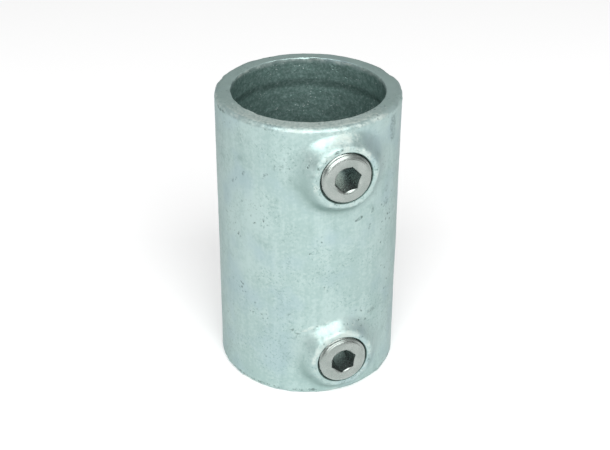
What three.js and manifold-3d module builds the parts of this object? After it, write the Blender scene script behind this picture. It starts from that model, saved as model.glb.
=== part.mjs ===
// Straight tube coupling: a cast sleeve that joins two scaffold tubes end to end, with one
// set screw over each tube. Millimetres, +Z up along the bore, origin on the bore's axis in
// the plane of the lower rim. Both set screws face -Y.

import * as THREE from 'three';
import { mergeVertices } from 'three/addons/utils/BufferGeometryUtils.js';
import Module from 'manifold-3d';

const wasm = await Module();
wasm.setup();

// Sleeve casting
const sleeveRadius = 30.5;
const sleeveLength = 101;
const outerRounding = 1.4;
const roundSegments = 64;

// Bore, for a tube of 48.3 diameter
const landRadius = 25.25;
const landLength = 7.4;
const mouthWidth = 0.6;
const mouthDepth = 1.2;
const reliefRadius = 26.3;
const reliefStep = 0.8;

// Rib in the middle of the bore, which both tubes butt against
const stopRadius = 23.2;
const stopThickness = 3;
const stopFillet = 0.8;

// Bosses: round pads on one side of the sleeve, one near each end
const screwInset = 16;
const bossFace = 34.2;
const bossEdgeRadius = 10.6;
const bossFootRadius = 14.3;
const bossFootHeight = 27.1;
const bossRoot = 26.6;
const bossEdgeRounding = 0.5;
const bossSegments = 40;

// Set screws: 3/8 in pipe thread, drawn as a plain shank at the thread's major diameter
const screwRadius = 8.33;
const screwLength = 11.2;
const screwTip = 24.3;
const screwGap = 0.32;
const screwEdgeRounding = [1.9, 1.4];
const cupRadius = 4.8;
const cupDepth = 1.3;
const pointFlat = 0.4;
const pointLength = 2.2;

// Hexagon sockets
const socketAcrossFlats = 8;
const socketDepth = 8.6;
const socketMouthRadius = 4.95;
const socketMouthDepth = 0.6;
const socketTurns = { lower_set_screw: 20.5, upper_set_screw: 13 };

const overcut = 2;
const degree = Math.PI / 180;

// ---- booleans ----

function toSolid(geometry) {
  const bare = geometry.clone();
  bare.deleteAttribute('normal');
  bare.deleteAttribute('uv');
  const merged = mergeVertices(bare);
  return new wasm.Manifold(new wasm.Mesh({
    numProp: 3,
    vertProperties: new Float32Array(merged.attributes.position.array),
    triVerts: new Uint32Array(merged.index.array),
  }));
}

function toGeometry(solid) {
  const mesh = solid.getMesh();
  const geometry = new THREE.BufferGeometry();
  geometry.setAttribute('position', new THREE.BufferAttribute(mesh.vertProperties, 3));
  geometry.setIndex(new THREE.BufferAttribute(mesh.triVerts, 1));
  geometry.computeVertexNormals();
  return geometry;
}

// ---- outlines ----

const point = (x, y) => new THREE.Vector2(x, y);

// Part of an ellipse, both ends included, angles in degrees from +X.
function arc(centre, radii, from, to, steps) {
  const points = [];
  for (let i = 0; i <= steps; i += 1) {
    const angle = (from + ((to - from) * i) / steps) * degree;
    points.push(point(centre.x + radii[0] * Math.cos(angle), centre.y + radii[1] * Math.sin(angle)));
  }
  return points;
}

// A turned body about Z. The outline gives radius and height, up its outside.
function turned(outline, segments) {
  return new THREE.LatheGeometry(outline, segments).rotateX(Math.PI / 2);
}

// ---- sleeve ----

// The outline of half the bore, from the mouth at the rim to the face of the stop rib.
function boreOutline() {
  const mouth = arc(point(landRadius + mouthWidth, mouthDepth), [mouthWidth, mouthDepth], 270, 180, 3);
  const stopFace = (sleeveLength - stopThickness) / 2;
  const corner = point(reliefRadius - stopFillet, stopFace - stopFillet);
  return [
    ...mouth,
    point(landRadius, landLength),
    point(reliefRadius, landLength + reliefStep),
    ...arc(corner, [stopFillet, stopFillet], 0, 90, 2),
    point(stopRadius, stopFace),
  ];
}

function sleeveOutline() {
  const edge = point(sleeveRadius - outerRounding, outerRounding);
  const outside = arc(edge, [outerRounding, outerRounding], -90, 0, 3);
  const bore = boreOutline();
  const atOtherEnd = (p) => point(p.x, sleeveLength - p.y);
  return [
    ...outside,
    ...outside.map(atOtherEnd).reverse(),
    ...bore.map(atOtherEnd),
    ...bore.reverse(),
    outside[0],
  ];
}

// A raised round pad that flares into the sleeve, about its own axis, height 0 on the bore's axis.
function bossGeometry() {
  const flare = point(bossFootRadius, bossFace - bossEdgeRounding);
  const sweep = [bossFootRadius - bossEdgeRadius, flare.y - bossFootHeight];
  const edge = point(bossEdgeRadius - bossEdgeRounding, bossFace - bossEdgeRounding);
  const outline = [
    point(0, bossRoot),
    point(bossFootRadius, bossRoot),
    ...arc(flare, sweep, 270, 180, 5),
    ...arc(edge, [bossEdgeRounding, bossEdgeRounding], 30, 90, 2),
    point(0, bossFace),
  ];
  return turned(outline, bossSegments);
}

function holeGeometry() {
  const radius = screwRadius + screwGap;
  const outline = [
    point(0, overcut),
    point(radius, overcut),
    point(radius, bossFace + overcut),
    point(0, bossFace + overcut),
  ];
  return turned(outline, bossSegments);
}

function sleeveGeometry() {
  const heights = [screwInset, sleeveLength - screwInset];
  let solid = toSolid(turned(sleeveOutline(), roundSegments));
  for (const height of heights) {
    const boss = bossGeometry().rotateX(Math.PI / 2).translate(0, 0, height);
    const hole = holeGeometry().rotateX(Math.PI / 2).translate(0, 0, height);
    solid = solid.add(toSolid(boss)).subtract(toSolid(hole));
  }
  return toGeometry(solid);
}

// ---- set screws ----

// A cup-pointed blank about Z, its point at 0 and its face at the screw's length.
function screwBlank() {
  const edge = point(screwRadius - screwEdgeRounding[0], screwLength - screwEdgeRounding[1]);
  const outline = [
    point(0, cupDepth),
    point(cupRadius, 0),
    point(cupRadius + pointFlat, 0),
    point(screwRadius, pointLength),
    ...arc(edge, screwEdgeRounding, 0, 90, 4),
    point(0, screwLength),
  ];
  return turned(outline, bossSegments);
}

// The hexagon socket with its round countersunk mouth, as the tool that cuts it.
function socketSolid() {
  const cornerRadius = socketAcrossFlats / Math.sqrt(3);
  const corners = [];
  for (let i = 0; i < 6; i += 1) {
    corners.push(point(cornerRadius * Math.cos(i * 60 * degree), cornerRadius * Math.sin(i * 60 * degree)));
  }
  const hexagon = new THREE.ExtrudeGeometry(new THREE.Shape(corners), {
    depth: socketDepth + overcut,
    bevelEnabled: false,
  }).translate(0, 0, screwLength - socketDepth);
  const slope = (socketMouthRadius - socketAcrossFlats / 2) / socketMouthDepth;
  const mouth = turned([
    point(0, screwLength - socketMouthDepth),
    point(socketAcrossFlats / 2, screwLength - socketMouthDepth),
    point(socketMouthRadius + slope * overcut, screwLength + overcut),
    point(0, screwLength + overcut),
  ], bossSegments);
  return toSolid(hexagon).add(toSolid(mouth));
}

function screwGeometry() {
  return toGeometry(toSolid(screwBlank()).subtract(socketSolid()));
}

// ---- materials ----

const galvanised = () => new THREE.MeshStandardMaterial({ color: 0xb4cdc9, roughness: 0.55, metalness: 0.6 });
const brightSteel = () => new THREE.MeshStandardMaterial({ color: 0xa9b5af, roughness: 0.32, metalness: 0.95 });

// ---- assembly ----

function namedMesh(name, geometry, material) {
  const mesh = new THREE.Mesh(geometry, material);
  mesh.name = name;
  return mesh;
}

// Turned to face -Y, with the socket at its own angle about the screw's axis.
function setScrew(name, height) {
  const geometry = screwGeometry().rotateZ(socketTurns[name] * degree);
  const mesh = namedMesh(name, geometry, brightSteel());
  mesh.rotation.x = Math.PI / 2;
  mesh.position.set(0, -screwTip, height);
  return mesh;
}

const coupling = new THREE.Group();
coupling.add(namedMesh('sleeve_casting', sleeveGeometry(), galvanised()));
coupling.add(setScrew('lower_set_screw', screwInset));
coupling.add(setScrew('upper_set_screw', sleeveLength - screwInset));

export default coupling;
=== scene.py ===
# Scaffold tube coupling: a galvanised sleeve casting and its two hexagon socket set screws.
# Shapes are worked out in millimetres and go into Blender in metres.

import math

import bpy
import numpy as np
from mathutils import Matrix, Vector


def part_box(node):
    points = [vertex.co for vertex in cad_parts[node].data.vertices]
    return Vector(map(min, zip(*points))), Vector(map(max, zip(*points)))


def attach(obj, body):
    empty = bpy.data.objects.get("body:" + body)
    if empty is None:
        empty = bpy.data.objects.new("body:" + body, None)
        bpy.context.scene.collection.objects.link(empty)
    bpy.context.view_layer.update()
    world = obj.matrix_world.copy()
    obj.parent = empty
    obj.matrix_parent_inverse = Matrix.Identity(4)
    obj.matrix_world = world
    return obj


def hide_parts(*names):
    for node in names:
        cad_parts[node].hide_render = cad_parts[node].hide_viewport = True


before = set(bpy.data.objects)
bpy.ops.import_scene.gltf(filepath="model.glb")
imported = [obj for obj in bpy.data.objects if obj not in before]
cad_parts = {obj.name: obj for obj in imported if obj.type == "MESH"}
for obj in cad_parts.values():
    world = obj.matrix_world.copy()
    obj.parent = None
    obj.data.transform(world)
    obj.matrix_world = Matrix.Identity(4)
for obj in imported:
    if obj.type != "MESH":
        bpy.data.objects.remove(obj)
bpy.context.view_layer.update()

toMetres = 0.001
fullTurn = 2 * math.pi

print("stage 1: sizes from the frame")

sleeveLow, sleeveHigh = [[value / toMetres for value in corner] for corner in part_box("sleeve_casting")]
sleeveRadius = sleeveHigh[0]
sleeveLength = sleeveHigh[2]
bossFace = -sleeveLow[1]


def screwPlace(node):
    # radius, height of the axis, and how far the point and the face are from the bore's axis
    low, high = [[value / toMetres for value in corner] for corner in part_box(node)]
    return {
        "radius": (high[0] - low[0]) / 2,
        "height": (high[2] + low[2]) / 2,
        "tip": -high[1],
        "face": -low[1],
    }


lowerPlace = screwPlace("lower_set_screw")
upperPlace = screwPlace("upper_set_screw")


def noiseAt(points, cell, seed):
    # random values at the corners of cubes of one size, eased between them, from -1 to 1
    table = np.random.default_rng(seed).uniform(-1, 1, (48, 48, 48))
    scaled = points / cell
    corner = np.floor(scaled).astype(int)
    part = scaled - corner
    ease = part * part * (3 - 2 * part)
    total = np.zeros(points.shape[:-1])
    for step in np.ndindex(2, 2, 2):
        index = (corner + step) % 48
        weight = np.prod(np.where(step, ease, 1 - ease), axis=-1)
        total += weight * table[index[..., 0], index[..., 1], index[..., 2]]
    return total


def smoothStep(low, high, value):
    # 0 below low, 1 above high, and the cubic 3t^2 - 2t^3 between them
    part = np.clip((value - low) / (high - low), 0, 1)
    return part * part * (3 - 2 * part)


def band(value, low, lowFull, highFull, high):
    # rises from 0 at low to 1 at lowFull, and falls again from highFull to 0 at high
    return smoothStep(low, lowFull, value) * smoothStep(high, highFull, value)


def smoothMax(first, second, blend):
    # the larger of two heights, with a round fillet where they cross
    share = np.clip(0.5 + (first - second) / (2 * blend), 0, 1)
    return share * first + (1 - share) * second + blend * share * (1 - share)


def arcPoints(centre, radii, start, end, steps):
    # centre plus radii times the cosine and sine of even angles in degrees, both ends included
    angle = np.radians(np.linspace(start, end, steps + 1))
    return np.column_stack([centre[0] + radii[0] * np.cos(angle), centre[1] + radii[1] * np.sin(angle)])


def linePoints(start, end, steps):
    # even steps along a straight line, both ends included
    return np.linspace(start, end, steps + 1)


def joined(stretches):
    # stretches that meet end to end, each shared point kept once
    return np.vstack([part[:-1] for part in stretches[:-1]] + [stretches[-1]])


def ringFaces(lower, upper):
    # quads between two closed rings of vertex numbers, facing out where the second ring is above
    return np.column_stack([lower, np.roll(lower, -1), np.roll(upper, -1), upper])


def makePiece(name, points, faces, material, sharpAngle):
    # a smooth-shaded mesh from points in millimetres, creased where faces meet past the sharp angle
    mesh = bpy.data.meshes.new(name)
    mesh.from_pydata((points * toMetres).tolist(), [], faces)
    mesh.update()
    mesh.shade_smooth()
    mesh.set_sharp_from_angle(angle=math.radians(sharpAngle))
    mesh.materials.append(material)
    piece = bpy.data.objects.new(name, mesh)
    bpy.context.scene.collection.objects.link(piece)
    return piece


def paintValue(piece, name, values):
    # one number for each vertex, for the material to read
    layer = piece.data.attributes.new(name, "FLOAT", "POINT")
    layer.data.foreach_set("value", np.asarray(values, dtype=np.float32))


thread = {
    "pitch": 1.337,
    "depth": 0.855,
    "clearance": 0.2,
    "rowsPerPitch": 8,
    "mouthEdge": (0.42, 0.4),
    "pastTip": 1.4,
    "underFace": 1.0,
    "innerEnd": 8.5,
    "outerEnd": 8.62,
}


def threadRadius(angle, distance):
    # a cosine from root to crest, which climbs one pitch outwards for each turn to the left
    phase = distance / thread["pitch"] - angle / fullTurn
    return lowerPlace["radius"] - thread["depth"] * (0.5 + 0.5 * np.cos(fullTurn * phase))


def threadRows(low, high):
    # distances that are whole steps of the pitch's share, so that both threads use the same rows
    step = thread["pitch"] / thread["rowsPerPitch"]
    return np.arange(math.ceil(low / step), math.floor(high / step) + 1) * step


class Nodes:
    # a short way to lay out a material's nodes
    def __init__(self, name):
        self.material = bpy.data.materials.new(name)
        self.material.use_nodes = True
        self.tree = self.material.node_tree
        self.shader = self.tree.nodes["Principled BSDF"]
        self.place = self.tree.nodes.new("ShaderNodeTexCoord").outputs["Object"]

    def put(self, socket, value):
        # a link where the value is another node's socket, a plain value otherwise
        if isinstance(value, bpy.types.NodeSocket):
            self.tree.links.new(value, socket)
        else:
            socket.default_value = value

    def stretched(self, scale, location=(0, 0, 0)):
        # object coordinates times the scale, plus the location
        node = self.tree.nodes.new("ShaderNodeMapping")
        self.put(node.inputs["Vector"], self.place)
        node.inputs["Scale"].default_value = scale
        node.inputs["Location"].default_value = location
        return node.outputs["Vector"]

    def noise(self, scale, detail=3.0, roughness=0.5, vector=None):
        # layered noise from 0 to 1, the scale in waves to the metre
        node = self.tree.nodes.new("ShaderNodeTexNoise")
        self.put(node.inputs["Vector"], vector or self.place)
        node.inputs["Scale"].default_value = scale
        node.inputs["Detail"].default_value = detail
        node.inputs["Roughness"].default_value = roughness
        return node.outputs["Fac"]

    def noiseColour(self, scale):
        # three separate noises from 0 to 1, as one vector
        node = self.tree.nodes.new("ShaderNodeTexNoise")
        self.put(node.inputs["Vector"], self.place)
        node.inputs["Scale"].default_value = scale
        return node.outputs["Color"]

    def cells(self, scale, vector=None):
        # distance from the nearest of a scatter of points, in cells
        node = self.tree.nodes.new("ShaderNodeTexVoronoi")
        self.put(node.inputs["Vector"], vector or self.place)
        node.inputs["Scale"].default_value = scale
        return node.outputs["Distance"]

    def painted(self, name):
        # a number painted on the piece's vertices
        node = self.tree.nodes.new("ShaderNodeAttribute")
        node.attribute_name = name
        return node.outputs["Fac"]

    def remap(self, value, low, high, newLow=0.0, newHigh=1.0):
        # a smooth step from the new low to the new high as the value goes from low to high
        node = self.tree.nodes.new("ShaderNodeMapRange")
        node.interpolation_type = "SMOOTHSTEP"
        for socket, number in zip(node.inputs[:5], (value, low, high, newLow, newHigh)):
            self.put(socket, number)
        return node.outputs["Result"]

    def sums(self, operation, first, second=0.0):
        # one sum on two numbers
        node = self.tree.nodes.new("ShaderNodeMath")
        node.operation = operation
        self.put(node.inputs[0], first)
        self.put(node.inputs[1], second)
        return node.outputs[0]

    def vector(self, operation, first, second=None, scale=None):
        # one sum on vectors, giving a number for a length or a dot product
        node = self.tree.nodes.new("ShaderNodeVectorMath")
        node.operation = operation
        self.put(node.inputs[0], first)
        if second is not None:
            self.put(node.inputs[1], second)
        if scale is not None:
            self.put(node.inputs["Scale"], scale)
        return node.outputs["Value"] if operation in ("LENGTH", "DOT_PRODUCT") else node.outputs["Vector"]

    def ragged(self, painted, noise, amount=0.8, sharpness=0.12):
        # a painted area whose edge is broken up by noise
        level = self.sums("ADD", painted, self.sums("MULTIPLY", self.sums("SUBTRACT", noise, 0.5), amount))
        return self.remap(level, 0.5 - sharpness, 0.5 + sharpness)

    def mark(self, place, centre, along, halfLength, halfWidth):
        # a round-ended stroke: one where a point is near a short line, nothing past its width
        away = self.vector("SUBTRACT", place, centre)
        reach = self.sums("MINIMUM", self.vector("DOT_PRODUCT", away, along), halfLength)
        reach = self.sums("MAXIMUM", reach, -halfLength)
        nearest = self.vector("SCALE", along, scale=reach)
        distance = self.vector("LENGTH", self.vector("SUBTRACT", away, nearest))
        return self.remap(distance, halfWidth * 0.3, halfWidth, 1.0, 0.0)

    def mix(self, share, first, second):
        # the first colour where the share is 0, the second where it is 1
        node = self.tree.nodes.new("ShaderNodeMix")
        node.data_type = "RGBA"
        self.put(node.inputs["Factor"], share)
        self.put(node.inputs[6], first)
        self.put(node.inputs[7], second)
        return node.outputs[2]

    def bump(self, height, distance, strength, under=None):
        # the normal tilted by a height's slope, over another normal if one is given
        node = self.tree.nodes.new("ShaderNodeBump")
        self.put(node.inputs["Height"], height)
        self.put(node.inputs["Strength"], strength)
        node.inputs["Distance"].default_value = distance
        if under is not None:
            self.put(node.inputs["Normal"], under)
        return node.outputs["Normal"]


zincLook = {
    "pale": (0.385, 0.497, 0.48, 1),
    "grey": (0.312, 0.422, 0.405, 1),
    "blue": (0.312, 0.42, 0.443, 1),
    # dull: duller zinc for patches and scuffs, and the colour of the painted shade in the valleys round the
    # bosses
    "dullAndShade": (0.20, 0.29, 0.27, 1),
    # pit: the darkest tone, for pits, marks and the dark specks of dirt and painted shade
    "pit": (0.07, 0.105, 0.095, 1),
    # rim: the rims' flat tops, partly darker zinc and partly painted shade on the faces that look up
    "rim": (0.35, 0.465, 0.44, 1),
    # worn: whitened zinc for wear, also the colour of the painted highlight on the boss flanks, the strip
    # above the upper boss, the front of the rims' flat tops and the bore's mouth
    "wearAndSheen": (0.55, 0.62, 0.585, 1),
    "inside": (0.13, 0.215, 0.195, 1),
    "insidePale": (0.235, 0.345, 0.325, 1),
    "glint": (0.62, 0.72, 0.70, 1),
    "metallic": 0.55,
}

# areas of marks on the outside: the middle as an angle round from the screws and a height, the spread
# each way, how many strokes, and their length, width, lean from level and darkness
markAreas = [
    (12, 67, 0, 0, 1, 2.0, 0.75, 20, 0.80),
    (-35, 86, 14, 5, 5, 1.0, 0.55, 30, 0.50),
    (-65, 67, 8, 15, 3, 0.9, 0.65, 50, 0.45),
    (30, 64, 10, 12, 4, 1.4, 0.70, 70, 0.45),
    (-27, 28, 6, 5, 5, 0.9, 0.55, 20, 0.50),
    (-20, 28, 0, 0, 1, 2.3, 0.50, 28, 0.60),
    (41, 93, 2, 4, 3, 2.0, 2.30, 75, 0.45),
    (25, 29, 0, 0, 1, 2.2, 1.40, 10, 0.35),
]


def onSleeve(turn, height):
    # a point on the sleeve's outside, in metres
    angle = math.radians(turn)
    return Vector((sleeveRadius * math.sin(angle), -sleeveRadius * math.cos(angle), height)) * toMetres


def scatteredMarks():
    # seeded random places inside each area, and a lean that varies where there is more than one stroke
    random = np.random.default_rng(31)
    for turn, height, spreadRound, spreadUp, count, length, width, lean, darkness in markAreas:
        for side, rise, tilt in random.uniform(-1, 1, (count, 3)):
            leanHere = lean + 35 * tilt * (count > 1)
            yield turn + spreadRound * side, height + spreadUp * rise, length, width, leanHere, darkness


def sleeveMarks(n, place):
    # the darkest of all the marks, each a stroke
    darkest = None
    for turn, height, length, width, lean, darkness in scatteredMarks():
        centre = onSleeve(turn, height)
        level = (onSleeve(turn + 1, height) - centre).normalized()
        along = level * math.cos(math.radians(lean)) + Vector((0, 0, math.sin(math.radians(lean))))
        stroke = n.mark(place, centre, along, length / 2 * toMetres, width * toMetres)
        stroke = n.sums("MULTIPLY", stroke, darkness)
        darkest = stroke if darkest is None else n.sums("MAXIMUM", darkest, stroke)
    return darkest


def zincMaterial():
    # mottled zinc: clouds, vertical runs and fine grain of three greys, then duller patches, the rims' flat
    # tops partly darker zinc and partly painted shade, painted shade in the valleys, worn edges with painted
    # highlights, pits in clusters, scuffs, single marks with wavering edges, dirt specks with painted shade,
    # and a dark coarse inside
    n = Nodes("hot_dip_zinc")
    clouds = n.noise(55, 5, 0.6)
    runs = n.noise(1, 4, 0.6, n.stretched((420, 420, 26)))
    grain = n.noise(900, 3, 0.6)
    blend = n.sums("ADD", n.sums("MULTIPLY", clouds, 0.45), n.sums("MULTIPLY", runs, 0.25))
    blend = n.sums("ADD", blend, n.sums("MULTIPLY", grain, 0.30))
    colour = n.mix(n.remap(blend, 0.41, 0.58), zincLook["grey"], zincLook["pale"])
    colour = n.mix(n.remap(n.noise(70, 3, 0.5), 0.48, 0.70, 0.0, 0.6), colour, zincLook["blue"])
    patches = n.remap(n.noise(130, 5, 0.7), 0.56, 0.74, 0.0, 0.42)
    colour = n.mix(patches, colour, zincLook["dullAndShade"])
    # the rims' flat tops darker: partly darker zinc, partly painted shade
    colour = n.mix(n.painted("rim"), colour, zincLook["rim"])
    # painted shade in the valleys round the bosses, in the duller colour
    colour = n.mix(n.sums("MULTIPLY", n.painted("dullAndShade"), 0.7), colour, zincLook["dullAndShade"])
    frost = n.noise(1100, 4, 0.7)
    # whitened where painted: partly wear, partly painted highlight
    wearAndSheen = n.ragged(n.painted("wearAndSheen"), frost, 1.3, 0.25)
    colour = n.mix(n.sums("MULTIPLY", wearAndSheen, 0.85), colour, zincLook["wearAndSheen"])
    wander = n.vector("SCALE", n.vector("SUBTRACT", n.noiseColour(900), (0.5, 0.5, 0.5)), scale=0.0009)
    wavering = n.vector("ADD", n.place, wander)
    pitCells = n.remap(n.cells(680, wavering), 0.10, 0.34, 1.0, 0.0)
    pitAreas = n.remap(n.noise(110, 4, 0.6), 0.54, 0.66)
    pits = n.sums("MULTIPLY", pitCells, pitAreas)
    colour = n.mix(n.sums("MULTIPLY", pits, 0.75), colour, zincLook["pit"])
    scuffs = n.remap(n.noise(1300, 3, 0.65), 0.54, 0.66, 0.0, 0.7)
    scuffs = n.sums("MULTIPLY", scuffs, n.remap(n.noise(80, 4, 0.65), 0.45, 0.60))
    colour = n.mix(scuffs, colour, zincLook["dullAndShade"])
    strokes = sleeveMarks(n, wavering)
    strokes = n.sums("MULTIPLY", strokes, n.remap(n.noise(1300, 3, 0.6), 0.42, 0.58, 0.2, 1.0))
    colour = n.mix(strokes, colour, zincLook["pit"])
    inside = n.painted("inside")
    coarse = n.noise(1000, 4, 0.7)
    insideColour = n.mix(n.remap(coarse, 0.40, 0.68), zincLook["inside"], zincLook["insidePale"])
    glints = n.remap(n.cells(900), 0.12, 0.24, 0.8, 0.0)
    glints = n.sums("MULTIPLY", glints, n.remap(n.noise(260, 2, 0.5), 0.5, 0.62))
    insideColour = n.mix(glints, insideColour, zincLook["glint"])
    colour = n.mix(inside, colour, insideColour)
    # dark specks: dirt, and painted shade along the band under each rim's rounded edge
    specks = n.ragged(n.painted("dirtAndShade"), n.noise(800, 4, 0.7), 1.4, 0.10)
    colour = n.mix(n.sums("MULTIPLY", specks, 0.7), colour, zincLook["pit"])
    n.put(n.shader.inputs["Base Color"], colour)
    n.shader.inputs["Metallic"].default_value = zincLook["metallic"]
    n.shader.inputs["Specular Tint"].default_value = (0.5, 0.55, 0.55, 1)
    roughness = n.remap(n.noise(240, 4, 0.6), 0.3, 0.7, 0.34, 0.48)
    n.put(n.shader.inputs["Roughness"], n.sums("ADD", roughness, n.sums("MULTIPLY", wearAndSheen, 0.33)))
    coarseness = n.sums("MAXIMUM", inside, n.sums("MULTIPLY", wearAndSheen, 0.8))
    rough = n.bump(n.noise(520, 5, 0.62), 0.00022, n.remap(coarseness, 0, 1, 0.28, 1.0))
    hollows = n.sums("SUBTRACT", 1.0, n.sums("MAXIMUM", pits, strokes))
    n.put(n.shader.inputs["Normal"], n.bump(hollows, 0.0002, 0.7, rough))
    return n.material


steelLook = {
    "bright": (0.34, 0.375, 0.355, 1),
    "shade": (0.29, 0.33, 0.31, 1),
    # socket: the colour of the painted shade in the hexagon socket
    "socket": (0.165, 0.21, 0.205, 1),
    "metallic": 0.9,
    "ringWaves": 22000.0,
}


def steelMaterial(name, height):
    # turned steel: fine rings about the screw's axis, a faint cloudy tarnish and a socket darkened by painted
    # shade
    n = Nodes(name)
    centred = n.stretched((1, 0, 1), (0, 0, -height * toMetres))
    rings = n.sums("SINE", n.sums("MULTIPLY", n.vector("LENGTH", centred), steelLook["ringWaves"]))
    clouds = n.noise(260, 3, 0.5)
    colour = n.mix(n.remap(clouds, 0.35, 0.65), steelLook["shade"], steelLook["bright"])
    # painted shade in the socket, darker to one side on the upper screw
    colour = n.mix(n.painted("socket"), colour, steelLook["socket"])
    n.put(n.shader.inputs["Base Color"], colour)
    n.shader.inputs["Metallic"].default_value = steelLook["metallic"]
    n.put(n.shader.inputs["Roughness"], n.remap(n.noise(900, 3, 0.6), 0.3, 0.7, 0.24, 0.33))
    turned = n.bump(rings, 0.00001, 0.25)
    n.put(n.shader.inputs["Normal"], n.bump(n.noise(1300, 3, 0.6), 0.00002, 0.2, turned))
    return n.material


sleeve = {
    "columns": 256,
    "holeCells": 10,
    "windowCells": 20,
    "windowHeight": 13.0,
    "outerRounding": 1.8,
    "bore": 25.25,
    "mouthWidth": 0.2,
    "mouthDepth": 0.5,
    "landLength": 7.4,
    "relief": 26.3,
    "reliefStep": 3.6,
    "stopBore": 23.2,
    "stopThickness": 3.0,
    "stopFillet": 0.8,
    "bossRim": 10.3,
    "bossSlope": 1.55,
    "bossFillet": 3.4,
    "bossReach": 21,
    "bossFade": (0.2, 4.2),
    "bossRimUneven": 0.35,
    "bossFaceUneven": 0.12,
    "bossEdge": 0.35,
    "bossEdgeBlend": 0.45,
    "holeMouth": 9.05,
    "holeInside": 8.95,
    "frontAngle": 1.2,
    "bodyRows": 27,
    "sharpAngle": 50,
}

middle = sleeveLength / 2
holeHeights = (lowerPlace["height"], upperPlace["height"])


def boreRadiusAt(height):
    # land at each end, one eased step out to the relief
    inset = np.minimum(height, sleeveLength - height)
    step = smoothStep(sleeve["landLength"], sleeve["landLength"] + sleeve["reliefStep"], inset)
    return sleeve["bore"] + (sleeve["relief"] - sleeve["bore"]) * step


def outsideRadiusAt(height):
    # the round body's radius, the same at every height
    return np.full_like(height, sleeveRadius)


def sleeveHalf():
    # the wall's outline from the middle outside, over the upper rim, to the middle of the bore
    top = sleeveLength
    hole = holeHeights[1]
    reach = sleeve["windowHeight"]
    window = 2 * sleeve["windowCells"]
    rounding = sleeve["outerRounding"]
    bore, relief, stop = sleeve["bore"], sleeve["relief"], sleeve["stopBore"]
    mouth = [bore + sleeve["mouthWidth"], top - sleeve["mouthDepth"]]
    ledge = middle + sleeve["stopThickness"] / 2
    fillet = sleeve["stopFillet"]
    outside = [
        linePoints([sleeveRadius, middle], [sleeveRadius, hole - reach], sleeve["bodyRows"]),
        linePoints([sleeveRadius, hole - reach], [sleeveRadius, hole + reach], window),
        linePoints([sleeveRadius, hole + reach], [sleeveRadius, top - rounding], 3),
        arcPoints([sleeveRadius - rounding, top - rounding], [rounding, rounding], 0, 90, 6),
        linePoints([sleeveRadius - rounding, top], [mouth[0], top], 6),
        arcPoints(mouth, [sleeve["mouthWidth"], sleeve["mouthDepth"]], 90, 180, 5),
        linePoints([bore, mouth[1]], [bore, hole + reach], 3),
    ]
    inside = [
        linePoints([bore, hole + reach], [relief, hole - reach], window),
        linePoints([relief, hole - reach], [relief, ledge + fillet], 24),
        arcPoints([relief - fillet, ledge + fillet], [fillet, fillet], 0, -90, 4),
        linePoints([relief - fillet, ledge], [stop + 0.3, ledge], 4),
        arcPoints([stop + 0.3, ledge - 0.3], [0.3, 0.3], 90, 180, 3),
        linePoints([stop, ledge - 0.3], [stop, middle], 3),
    ]
    half = joined(outside + inside)
    firstInside = sum(len(part) - 1 for part in outside)
    inBore = slice(firstInside, firstInside + window + 1)
    half[inBore, 0] = boreRadiusAt(half[inBore, 1])
    return half, sleeve["bodyRows"] + window // 2, firstInside + window // 2


def openWindow(angle, height, row, column, upwards, wallRadius, mouth):
    # squares of grid lines round a hole are pulled to circles: the innermost lies on the hole's mouth
    inner, outer = sleeve["holeCells"], sleeve["windowCells"]
    rows = np.arange(row - outer, row + outer + 1)
    columns = np.arange(column - outer, column + outer + 1)
    across, up = np.meshgrid(columns - column, (rows - row) * upwards)
    ring = np.maximum(np.abs(across), np.abs(up))
    safe = np.maximum(ring, 1)
    turn = squareTurn(across / safe, up / safe)
    share = np.clip((ring - inner) / (outer - inner), 0, 1) ** 1.25
    mouthHere = mouth * np.minimum(ring / inner, 1)
    edgeHeight = sleeve["windowHeight"] * up / safe
    centre = height[row, column]
    edgeAngle = outer * fullTurn / sleeve["columns"] * across / safe
    edgeAcross = wallRadius(centre + edgeHeight) * np.sin(edgeAngle)
    x = (1 - share) * mouthHere * np.cos(turn) + share * edgeAcross
    z = centre + (1 - share) * mouthHere * np.sin(turn) + share * edgeHeight
    block = np.ix_(rows, columns)
    angle[block] = np.arcsin(x / wallRadius(z))
    height[block] = z
    return block


def squareTurn(x, y):
    # how far round a point on a square's edge lies, in even steps along that edge, as an angle
    onSides = np.abs(y) <= np.abs(x)
    sides = y / np.where(onSides & (x != 0), x, 1) + 4 * (x < 0)
    ends = 2 * np.sign(y) - x / np.where(onSides, 1, y)
    return np.where(onSides, sides, ends) * math.pi / 4


def bossDistance(across, up, seed):
    # a flat rim, a small round edge and a steep flank, all a little uneven as cast
    radius = np.hypot(across, up)
    around = np.stack([across / np.maximum(radius, 1), up / np.maximum(radius, 1), 0 * up], axis=-1)
    wobble = noiseAt(around * 3.0, 1.0, seed)
    beyond = radius - sleeve["bossRim"] - sleeve["bossRimUneven"] * wobble
    drop = smoothMax(sleeve["bossSlope"] * (beyond - sleeve["bossEdge"]), 0 * beyond, sleeve["bossEdgeBlend"])
    return bossFace + sleeve["bossFaceUneven"] * noiseAt(around * 4.0, 1.0, seed + 1) - drop


def liftAt(x, z):
    # how far the bosses stand out of the round body, along the screws' axes
    body = np.sqrt(np.maximum(sleeveRadius ** 2 - x ** 2, 0))
    lift = np.zeros_like(x)
    for index, hole in enumerate(holeHeights):
        boss = bossDistance(x, z - hole, 40 + 10 * index)
        near = np.hypot(x, z - hole) < sleeve["bossReach"]
        lift += np.where(near, smoothMax(boss, body, sleeve["bossFillet"]) - body, 0)
    inset = np.minimum(z, sleeveLength - z)
    return lift * smoothStep(*sleeve["bossFade"], inset)


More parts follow.
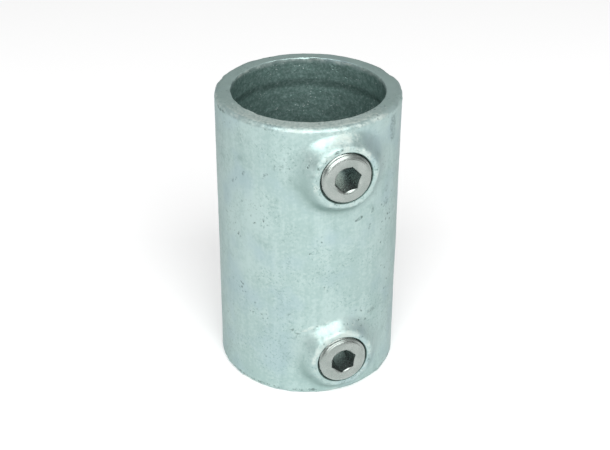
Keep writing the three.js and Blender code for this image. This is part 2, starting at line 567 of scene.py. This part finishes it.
def sleeveNormals(points):
    # the cross product of the two grid directions, each from the neighbours on both sides
    along = np.roll(points, -1, axis=1) - np.roll(points, 1, axis=1)
    up = np.roll(points, -1, axis=0) - np.roll(points, 1, axis=0)
    normal = np.cross(along, up)
    return normal / np.maximum(np.linalg.norm(normal, axis=-1, keepdims=True), 1e-9)


# layers of noise on the cast surface: height, cell size and seed
castSurface = {
    "waves": [(0.09, 15.0, 1), (0.045, 5.0, 2), (0.025, 2.1, 3)],
    "beads": [(0.19, 2.2, 10), (0.13, 1.2, 11)],
    "sand": [(0.10, 5.5, 4), (0.09, 2.4, 5), (0.09, 1.3, 6)],
    "ragged": [(0.26, 2.6, 7), (0.14, 1.3, 8)],
    "chipped": [(0.15, 2.5, 12), (0.12, 1.4, 13)],
    "flat": [(0.03, 4.0, 9)],
}


def layered(points, kind):
    # the sum of the layers of one kind, each its height times its noise
    total = 0.0
    for height, cell, seed in castSurface[kind]:
        total = total + height * noiseAt(points, cell, seed)
    return total


def castRelief(points, inside, rim, mouth, lip, edge):
    # gentle waves outside, beads round the bosses, coarse sand inside, a ragged edge at the bore's mouth
    roughSide = 0.2 + 0.8 * smoothStep(-15, 8, points[..., 1] - 0.6 * points[..., 0])
    ragged = roughSide * layered(points, "ragged")
    outside = (1 - inside) * ((1 - rim) * layered(points, "waves") + edge * layered(points, "chipped"))
    outside = outside + lip * layered(points, "beads")
    sand = inside * (1 - mouth) * layered(points, "sand")
    return outside + sand + rim * (1 - mouth) * layered(points, "flat") + mouth * ragged


def tubeRows(place, turn):
    # the hole's wall, from its rounded mouth down the thread to the bore: one row of points for each ring
    mouth = sleeve["holeMouth"]
    edge = arcPoints([mouth, bossFace - thread["mouthEdge"][1]], thread["mouthEdge"], 110, 180, 4)
    rows = threadRows(place["tip"] + thread["pastTip"], bossFace - thread["underFace"])[::-1]
    wall = thread["clearance"] + threadRadius(turn[None, :], rows[:, None])
    # the thread runs out at both ends, where the wall opens to a plain circle
    ends = [rows[-1], rows[-1] + 0.5, rows[0] - 0.7, rows[0]]
    opening = np.interp(rows, ends, [thread["innerEnd"], 0, 0, thread["outerEnd"]])
    wall = np.maximum(wall, opening[:, None])
    radius = np.vstack([np.repeat(edge[:, :1], len(turn), axis=1), wall])
    distance = np.concatenate([edge[:, 1], rows])
    points = np.stack([
        radius * np.cos(turn),
        np.repeat(-distance[:, None], len(turn), axis=1),
        place["height"] + radius * np.sin(turn),
    ], axis=-1)
    return points


rimShape = {
    "bulge": {"height": 0.42, "turn": 84, "spread": 4.5},
    "dent": {"height": -0.30, "turn": 95, "spread": 4.0},
    "fromTop": 9,
}


def swelling(angle, height):
    # the upper rim is a little out of round on one side: a low bulge beside a shallow dent
    turn = np.degrees(angle)
    shape = 0.0
    for part in (rimShape["bulge"], rimShape["dent"]):
        shape = shape + part["height"] * np.exp(-((turn - part["turn"]) / part["spread"]) ** 2)
    return shape * smoothStep(sleeveLength - rimShape["fromTop"], sleeveLength - 1, height)


drip = {
    "x": -10.5,
    "z": 27.5,
    "lean": 28,
    "halfLength": 1.6,
    "width": 0.6,
    "height": 0.5,
}


def zincRun(x, z):
    # a hardened drip above the lower boss: a short ridge with round ends, leaning, from 0 to 1
    lean = math.radians(drip["lean"])
    aside, above = x - drip["x"], z - drip["z"]
    along = aside * math.cos(lean) + above * math.sin(lean)
    across = above * math.cos(lean) - aside * math.sin(lean)
    beyond = np.maximum(np.abs(along) - drip["halfLength"], 0)
    return np.exp(-(across / drip["width"]) ** 2 - (beyond / drip["width"]) ** 2)


# bands round each boss, of wear, painted highlight and painted shade: radii where a band starts, is full, is
# full to and ends, and the strip of painted highlight above the upper boss
bossBands = {
    "lip": (8.4, 9.2, 10.6, 12.0),
    "flank": (10.0, 11.6, 12.5, 19.0),
    "specks": (8.6, 9.6, 10.2, 12.2),
    "valley": 12.9,
    "valleyWidth": 1.5,
    "highlightAside": -0.5,
    "highlightAbove": 12.5,
    "highlightWidth": 4.5,
    "highlightHeight": 2.2,
}


def bossPaint(grid, onFront):
    # how much the zinc round each boss is whitened by wear and painted highlight, darkened by painted shade
    # and specked: smooth steps by distance from the screw's axis times how far a point lies towards the top
    # and the foot, broken up by grains
    x, z = grid[..., 0], grid[..., 2]
    wearAndSheen, dullAndShade, specks = np.zeros_like(x), np.zeros_like(x), np.zeros_like(x)
    grains = noiseAt(grid, 1.7, 27)
    for hole in holeHeights:
        up = z - hole
        radius = np.maximum(np.hypot(x, up), 1e-6)
        towardsTop = (-0.25 * x + 0.97 * up) / radius
        towardsFoot = (-0.62 * x - 0.78 * up) / radius
        lip = band(radius, *bossBands["lip"])
        flank = band(radius, *bossBands["flank"]) * smoothStep(0.35, 0.95, towardsTop)
        # painted shade in the valley at the boss's foot, on the side towards the foot
        fromValley = (radius - bossBands["valley"]) / bossBands["valleyWidth"]
        valley = np.exp(-fromValley ** 2) * smoothStep(0.2, 0.95, towardsFoot)
        # the lip whitened by wear, with painted highlight growing towards the top
        lipWearAndHighlight = (0.36 + 0.14 * towardsTop + 0.3 * grains) * lip
        # painted highlight on the flank towards the top
        flankHighlight = (0.34 + 0.2 * grains) * flank
        ring = band(radius, *bossBands["specks"])
        wearAndSheen = np.maximum(wearAndSheen, np.maximum(lipWearAndHighlight, flankHighlight) * onFront)
        dullAndShade = np.maximum(dullAndShade, valley * onFront)
        specks = np.maximum(specks, ring * onFront)
    # painted highlight: the strip between the upper boss and the rim is painted bright, where light falls on
    # the fillet facing up
    aside = (x - bossBands["highlightAside"]) / bossBands["highlightWidth"]
    above = (z - holeHeights[1] - bossBands["highlightAbove"]) / bossBands["highlightHeight"]
    upperHighlight = np.exp(-aside ** 2 - above ** 2) * (0.75 + 0.2 * grains)
    wearAndSheen = np.maximum(wearAndSheen, np.maximum(upperHighlight, 0.7 * zincRun(x, z)) * onFront)
    return wearAndSheen, dullAndShade, specks * (0.24 - 0.3 * grains)


def paintSleeve(grid, angle, index, firstBore, onFront):
    # inside, rim with painted shade, worn edges, painted highlight at the front of the rims' flat tops and at
    # the mouth, painted shade in the valleys, and dirt specks with painted
    # shade: one number from 0 to 1 at each point, from smooth bands over the outline's rows times how far the
    # point faces the front, broken up by noise
    wide = np.ones_like(angle)
    pastMouth = smoothStep(firstBore + 5.0, firstBore + 6.8, index)[:, None] * wide
    wavering = 0.6 * noiseAt(grid, 2.2, 21) * (pastMouth > 0) * (pastMouth < 1)
    flatRows = ((index > firstBore - 8) & (index < firstBore + 1))[:, None] * wide
    edgeRows = np.exp(-((index - (firstBore - 9.5)) / 2.4) ** 2)[:, None] * wide
    mouthRows = np.exp(-((index - (firstBore + 5.0)) / 2.2) ** 2)[:, None] * wide
    towardsFront = smoothStep(-0.1, 0.9, np.cos(angle + math.radians(25)))
    uneven = 0.3 * noiseAt(grid, 7.0, 22) + 0.2 * noiseAt(grid, 1.8, 25)
    wornEdge = edgeRows * (0.28 + 0.2 * towardsFront + uneven)
    # painted highlight: the rims' flat tops painted lighter towards the front
    flatFrontHighlight = flatRows * 0.55 * towardsFront
    # the bore's mouth whitened by wear and by painted highlight
    mouthWearAndHighlight = mouthRows * (0.45 + 0.35 * noiseAt(grid, 3.0, 24))
    bossWearAndHighlight, dullAndShade, specks = bossPaint(grid, onFront)
    wearAndSheen = np.maximum.reduce([wornEdge, flatFrontHighlight, mouthWearAndHighlight, bossWearAndHighlight])
    # dark specks in a band below each rounded rim edge: dirt, and painted shade under the edge
    dirtAndShade = np.exp(-((index - (firstBore - 12.0)) / 2.2) ** 2)[:, None]
    dirtAndShade = dirtAndShade * (0.38 + 0.3 * noiseAt(grid, 4.5, 23))
    return {
        "inside": np.clip(pastMouth + wavering, 0, 1),
        # the rims' flat tops: partly darker zinc, partly painted shade
        "rim": np.clip(flatRows * (0.8 + 0.5 * noiseAt(grid, 2.4, 26)), 0, 1),
        "wearAndSheen": np.clip(wearAndSheen, 0, 1),
        "dullAndShade": dullAndShade,
        "dirtAndShade": np.clip(np.maximum(dirtAndShade, specks), 0, 1),
    }


def sleeveGrid():
    # the wall as one closed loop of rows carried round the axis, with circles where the holes will be
    half, outerHole, innerHole = sleeveHalf()
    last = len(half) - 1
    mirrored = np.column_stack([half[:, 0], sleeveLength - half[:, 1]])
    outline = np.vstack([half, mirrored[last - 1:0:-1]])
    rowCount, columns = len(outline), sleeve["columns"]
    centre = columns // 2
    steps = (np.arange(columns) - centre) * fullTurn / columns
    angle = np.repeat(steps[None, :], rowCount, axis=0)
    height = np.repeat(outline[:, 1:], columns, axis=1)
    radius = np.repeat(outline[:, :1], columns, axis=1)
    holes = [
        {"place": upperPlace, "outer": outerHole, "inner": innerHole},
        {"place": lowerPlace, "outer": rowCount - outerHole, "inner": rowCount - innerHole},
    ]
    for hole in holes:
        block = openWindow(angle, height, hole["outer"], centre, 1, outsideRadiusAt, sleeve["holeMouth"])
        radius[block] = sleeveRadius
        block = openWindow(angle, height, hole["inner"], centre, -1, boreRadiusAt, sleeve["holeInside"])
        radius[block] = boreRadiusAt(height[block])
    return outline, angle, height, radius, holes


def gridFaces(number, holes):
    # quads of the closed grid, without the squares inside each hole
    faces = np.stack([
        number,
        np.roll(number, -1, axis=1),
        np.roll(np.roll(number, -1, axis=1), -1, axis=0),
        np.roll(number, -1, axis=0),
    ], axis=-1)
    keep = np.ones(number.shape, dtype=bool)
    hollow, centre = sleeve["holeCells"], number.shape[1] // 2
    for hole in holes:
        for row in (hole["outer"], hole["inner"]):
            keep[row - hollow:row + hollow, centre - hollow:centre + hollow] = False
    return faces[keep]


def buildSleeve(material):
    # the grid pushed out by bosses, swelling and relief along its normals, then joined to the threads
    outline, angle, height, radius, holes = sleeveGrid()
    rowCount, columns = angle.shape
    firstBore = int(np.argmax(outline[:, 0] < sleeve["bore"] + sleeve["mouthWidth"] + 1e-6))
    index = np.minimum(np.arange(rowCount), rowCount - np.arange(rowCount))
    wide = np.ones(columns)
    inside = (index >= firstBore).astype(float)[:, None] * wide
    rimInset = np.minimum(outline[:, 1], sleeveLength - outline[:, 1])
    rim = (smoothStep(1.0, 0.15, rimInset) * (outline[:, 0] > sleeve["bore"]))[:, None] * wide
    mouth = np.exp(-((index - firstBore - 1.5) / 2.6) ** 2)[:, None] * wide
    edge = np.exp(-((index - (firstBore - 10.0)) / 2.6) ** 2)[:, None] * wide
    facing = np.abs(angle) < sleeve["frontAngle"]
    onFront = facing & (index[:, None] < firstBore - 9)
    radius = radius + swelling(angle, height) * (1 - inside)
    x = radius * np.sin(angle)
    y = -radius * np.cos(angle) - np.where(onFront, liftAt(x, height), 0)
    grid = np.stack([x, y, height], axis=-1)
    calm = np.ones_like(x)
    lip = np.zeros_like(x)
    for hole in holeHeights:
        near = np.hypot(x, height - hole)
        calm *= np.where(facing, smoothStep(8.8, 9.8, near), 1)
        lip += np.where(onFront, band(near, 9.3, 10.2, 10.8, 13.0), 0)
    relief = castRelief(grid, inside, rim, mouth, lip, edge) * calm
    relief += np.where(onFront, drip["height"] * zincRun(x, height), 0)
    grid = grid + sleeveNormals(grid) * relief[..., None]
    grid[..., 2] = np.clip(grid[..., 2], 0, None)

    number = np.arange(rowCount * columns).reshape(rowCount, columns)
    allFaces = [gridFaces(number, holes)]
    allPoints = [grid.reshape(-1, 3)]
    total = number.size
    ringAcross, ringUp = squareRing(sleeve["holeCells"])
    turn = squareTurn(ringAcross / sleeve["holeCells"], ringUp / sleeve["holeCells"])
    for hole in holes:
        outerRing = number[hole["outer"] + ringUp, columns // 2 + ringAcross]
        innerRing = number[hole["inner"] - ringUp, columns // 2 + ringAcross]
        tube = tubeRows(hole["place"], turn)
        numbers = total + np.arange(tube.shape[0] * len(turn)).reshape(tube.shape[:2])
        rings = np.vstack([outerRing[None, :], numbers, innerRing[None, :]])
        allFaces += [ringFaces(upper, lower) for upper, lower in zip(rings[:-1], rings[1:])]
        allPoints.append(tube.reshape(-1, 3))
        total += numbers.size
    points = np.vstack(allPoints)
    faces = np.vstack(allFaces)
    used = np.zeros(total, dtype=bool)
    used[faces.ravel()] = True
    renumber = np.cumsum(used) - 1
    surface = renumber[faces].tolist()
    piece = makePiece("sleeve_surface", points[used], surface, material, sleeve["sharpAngle"])
    print("sleeve triangles", 2 * len(faces))

    # in the threaded holes: the inside colour, specked darker at 0.6
    inThread = {"inside": 1.0, "rim": 0.0, "wearAndSheen": 0.0, "dullAndShade": 0.0, "dirtAndShade": 0.6}
    for name, values in paintSleeve(grid, angle, index, firstBore, onFront).items():
        values = np.concatenate([values.ravel(), np.full(total - number.size, inThread[name])])
        paintValue(piece, name, values[used])
    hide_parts("sleeve_casting")
    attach(piece, "sleeve")
    return piece


def squareRing(reach):
    # the grid steps round a square, from the middle of its right side, anticlockwise
    side = np.arange(-reach, reach)
    across = np.concatenate([np.full(2 * reach, reach), -side, np.full(2 * reach, -reach), side])
    up = np.concatenate([side, np.full(2 * reach, reach), -side, np.full(2 * reach, -reach)])
    return np.roll(across, -reach), np.roll(up, -reach)


screw = {
    "around": 96,
    "pointRadius": 5.2,
    "cupRadius": 4.8,
    "cupDepth": 1.3,
    "pointLength": 2.2,
    "edgeRounding": (1.9, 1.4),
    "grooves": 5,
    "grooveDepth": 0.022,
    "dishRadius": 5.5,
    "dishWidth": 2.0,
    "dishDepth": 1.6,
    "socketFlat": 4.0,
    "socketDepth": 8.6,
    "sharpAngle": 36,
    "lowerCorner": 20.5,
    "upperCorner": 13.0,
    # painted shade in each socket: its least and its most
    "lowerSocketShade": (0.62, 0.62),
    "upperSocketShade": (0.0, 1.0),
}


def hexagonRadius(angle, corner):
    # distance from the centre to a hexagon's side
    fromFlat = (angle - corner) % (math.pi / 3) - math.pi / 6
    return screw["socketFlat"] / np.cos(fromFlat)


def turnedEdge(full, length):
    # the round edge as a quarter ellipse with shallow turned grooves
    across, tall = screw["edgeRounding"]
    edge = arcPoints([full - across, length - tall], screw["edgeRounding"], 6, 90, 40)
    share = np.linspace(0, 1, len(edge))
    depth = screw["grooveDepth"] * (0.5 - 0.5 * np.cos(fullTurn * screw["grooves"] * share))
    direction = (edge - [full - across, length - tall]) / [across, tall]
    return edge - direction * depth[:, None]


def dishDepthAt(radius):
    # the socket's mouth falls away as a quarter ellipse
    share = np.clip((screw["dishRadius"] - radius) / screw["dishWidth"], 0, 1)
    return screw["dishDepth"] * (1 - np.sqrt(1 - share ** 2))


def screwRings(place, corner, angle):
    # radius and rise of each ring, from the cup up the thread, over the edge and down the socket
    full, length = place["radius"], place["face"] - place["tip"]
    even = np.ones_like(angle)
    edge = turnedEdge(full, length)
    rows = threadRows(place["tip"] + 0.05, place["tip"] + edge[0, 1]) - place["tip"]
    chamfer = screw["pointRadius"] + (full - screw["pointRadius"]) * rows / screw["pointLength"]
    shank = np.column_stack([np.minimum(chamfer, full), rows])
    outside = np.vstack([[[screw["pointRadius"], 0]], shank, edge])
    threaded = np.minimum(outside[:, :1], threadRadius(angle[None, :], place["tip"] + outside[:, 1:]))
    side = hexagonRadius(angle, corner)
    lip = length - dishDepthAt(side)
    floor = length - screw["socketDepth"]
    flat = np.linspace(full - screw["edgeRounding"][0], screw["dishRadius"], 4)[1:]
    rings = [(share * screw["cupRadius"] * even, (1 - share) * screw["cupDepth"] * even)
             for share in (0.35, 0.7, 1.0)]
    rings += [(radius, rise * even) for radius, rise in zip(threaded, outside[:, 1])]
    rings += [(radius * even, length * even) for radius in flat]
    for share in np.linspace(0, 1, 9)[1:]:
        radius = screw["dishRadius"] + (side - screw["dishRadius"]) * share
        rings.append((radius, length - dishDepthAt(radius)))
    darkFrom = len(rings)
    rings += [(side, lip + (floor - lip) * share) for share in (0.01, 0.25, 0.5, 0.75, 1.0)]
    rings += [(side * share, floor * even) for share in (0.66, 0.33)]
    return np.array([ring[0] for ring in rings]), np.array([ring[1] for ring in rings]), darkFrom


def buildScrew(name, node, body, place, cornerAngle, socketShade, material):
    # rings about the screw's axis, each joined to the next, closed by a pole in the cup and the socket
    corner = math.radians(cornerAngle)
    angle = corner + np.arange(screw["around"]) * fullTurn / screw["around"]
    radius, rise, darkFrom = screwRings(place, corner, angle)
    points = np.stack([
        radius * np.cos(angle),
        -(place["tip"] + rise),
        place["height"] + radius * np.sin(angle),
    ], axis=-1).reshape(-1, 3)
    numbers = np.arange(len(points)).reshape(radius.shape)
    faces = []
    for lower, upper in zip(numbers[:-1], numbers[1:]):
        faces += ringFaces(lower, upper).tolist()
    cupPole = [0, -place["tip"] - screw["cupDepth"], place["height"]]
    socketPole = [0, -place["face"] + screw["socketDepth"], place["height"]]
    first, final = len(points), len(points) + 1
    around = screw["around"]
    faces += np.column_stack([np.full(around, first), np.roll(numbers[0], -1), numbers[0]]).tolist()
    faces += np.column_stack([numbers[-1], np.roll(numbers[-1], -1), np.full(around, final)]).tolist()
    piece = makePiece(name, np.vstack([points, [cupPole, socketPole]]), faces, material, screw["sharpAngle"])
    # painted shade in the socket: its least and its most, which lies to the right
    share = smoothStep(-0.2, 0.75, np.cos(angle - math.radians(15)))
    level = socketShade[0] + (socketShade[1] - socketShade[0]) * share
    dark = (np.arange(len(radius)) >= darkFrom)[:, None] * level
    paintValue(piece, "socket", np.concatenate([dark.ravel(), [0, socketShade[0]]]))
    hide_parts(node)
    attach(piece, body)
    return piece


print("stage 2: sleeve casting")
zinc = zincMaterial()
buildSleeve(zinc)

print("stage 3: set screws")
buildScrew("lower_screw_turned", "lower_set_screw", "lower_screw", lowerPlace, screw["lowerCorner"],
           screw["lowerSocketShade"], steelMaterial("lower_screw_steel", lowerPlace["height"]))
buildScrew("upper_screw_turned", "upper_set_screw", "upper_screw", upperPlace, screw["upperCorner"],
           screw["upperSocketShade"], steelMaterial("upper_screw_steel", upperPlace["height"]))


studio = {
    "floorSize": 3.0,
    "floorColour": (0.99, 0.99, 0.99, 1),
    "floorGlow": 0.12,
    "world": 0.31,
    "panelPlace": (-0.30, -1.0, 1.0),
    "panelTarget": (0, 0, 0.05),
    "panelSize": (1.9, 1.3),
    "panelPower": 34.0,
    "cameraAzimuth": -20.6,
    "cameraDistance": 0.3658,
    "cameraHeight": 0.2647,
    "cameraPitch": 30.465,
    "cameraYaw": -0.117,
    "cameraRoll": 0.349,
    "lens": 72.56,
}


def turnedAbout(first, second, degrees):
    # two directions turned in their own plane, the first towards the second
    angle = math.radians(degrees)
    cosine, sine = math.cos(angle), math.sin(angle)
    return (first * cosine + second * sine, second * cosine - first * sine)


def makeCamera():
    # a level view towards the bore's axis, pitched down, then turned by small yaw and roll
    azimuth = math.radians(studio["cameraAzimuth"])
    away = np.array([math.sin(azimuth), -math.cos(azimuth), 0.0])
    right = np.array([math.cos(azimuth), math.sin(azimuth), 0.0])
    level, upwards = -away, np.array([0.0, 0.0, 1.0])
    forward, up = turnedAbout(level, -upwards, studio["cameraPitch"])
    up = -up
    forward, right = turnedAbout(forward, right, studio["cameraYaw"])
    right, up = turnedAbout(right, up, studio["cameraRoll"])
    place = away * studio["cameraDistance"] + upwards * studio["cameraHeight"]
    camera = bpy.data.objects.new("camera", bpy.data.cameras.new("camera"))
    matrix = Matrix.Identity(4)
    for row in range(3):
        matrix[row][0], matrix[row][1], matrix[row][2] = right[row], up[row], -forward[row]
        matrix[row][3] = place[row]
    camera.matrix_world = matrix
    camera.data.lens = studio["lens"]
    camera.data.sensor_width = 36.0
    camera.data.clip_start = 0.01
    bpy.context.scene.collection.objects.link(camera)
    bpy.context.scene.camera = camera


def makeFloor():
    # a square of white paper under the part, faintly glowing so that it stays white
    size = studio["floorSize"]
    mesh = bpy.data.meshes.new("floor")
    corners = [(-size, -size, 0), (size, -size, 0), (size, size, 0), (-size, size, 0)]
    mesh.from_pydata(corners, [], [(0, 1, 2, 3)])
    n = Nodes("floor_paper")
    n.put(n.shader.inputs["Base Color"], studio["floorColour"])
    n.shader.inputs["Roughness"].default_value = 0.9
    n.shader.inputs["Emission Color"].default_value = (1, 1, 1, 1)
    n.shader.inputs["Emission Strength"].default_value = studio["floorGlow"]
    mesh.materials.append(n.material)
    floor = bpy.data.objects.new("floor", mesh)
    bpy.context.scene.collection.objects.link(floor)


def areaLight(name, place, target, size, power):
    # a rectangular light at a place, facing its target
    light = bpy.data.lights.new(name, "AREA")
    light.shape = "RECTANGLE"
    light.size, light.size_y = size
    light.energy = power
    lamp = bpy.data.objects.new(name, light)
    direction = np.array(target) - np.array(place)
    lamp.location = place
    lamp.rotation_euler = Vector(direction).to_track_quat("-Z", "Y").to_euler()
    bpy.context.scene.collection.objects.link(lamp)


print("stage 4: floor, light and camera")
world = bpy.data.worlds.new("studio")
world.use_nodes = True
world.node_tree.nodes["Background"].inputs["Color"].default_value = (1, 1, 1, 1)
world.node_tree.nodes["Background"].inputs["Strength"].default_value = studio["world"]
bpy.context.scene.world = world
bpy.context.scene.view_settings.view_transform = "Standard"
makeFloor()
makeCamera()
areaLight("front_panel", studio["panelPlace"], studio["panelTarget"], studio["panelSize"],
          studio["panelPower"])
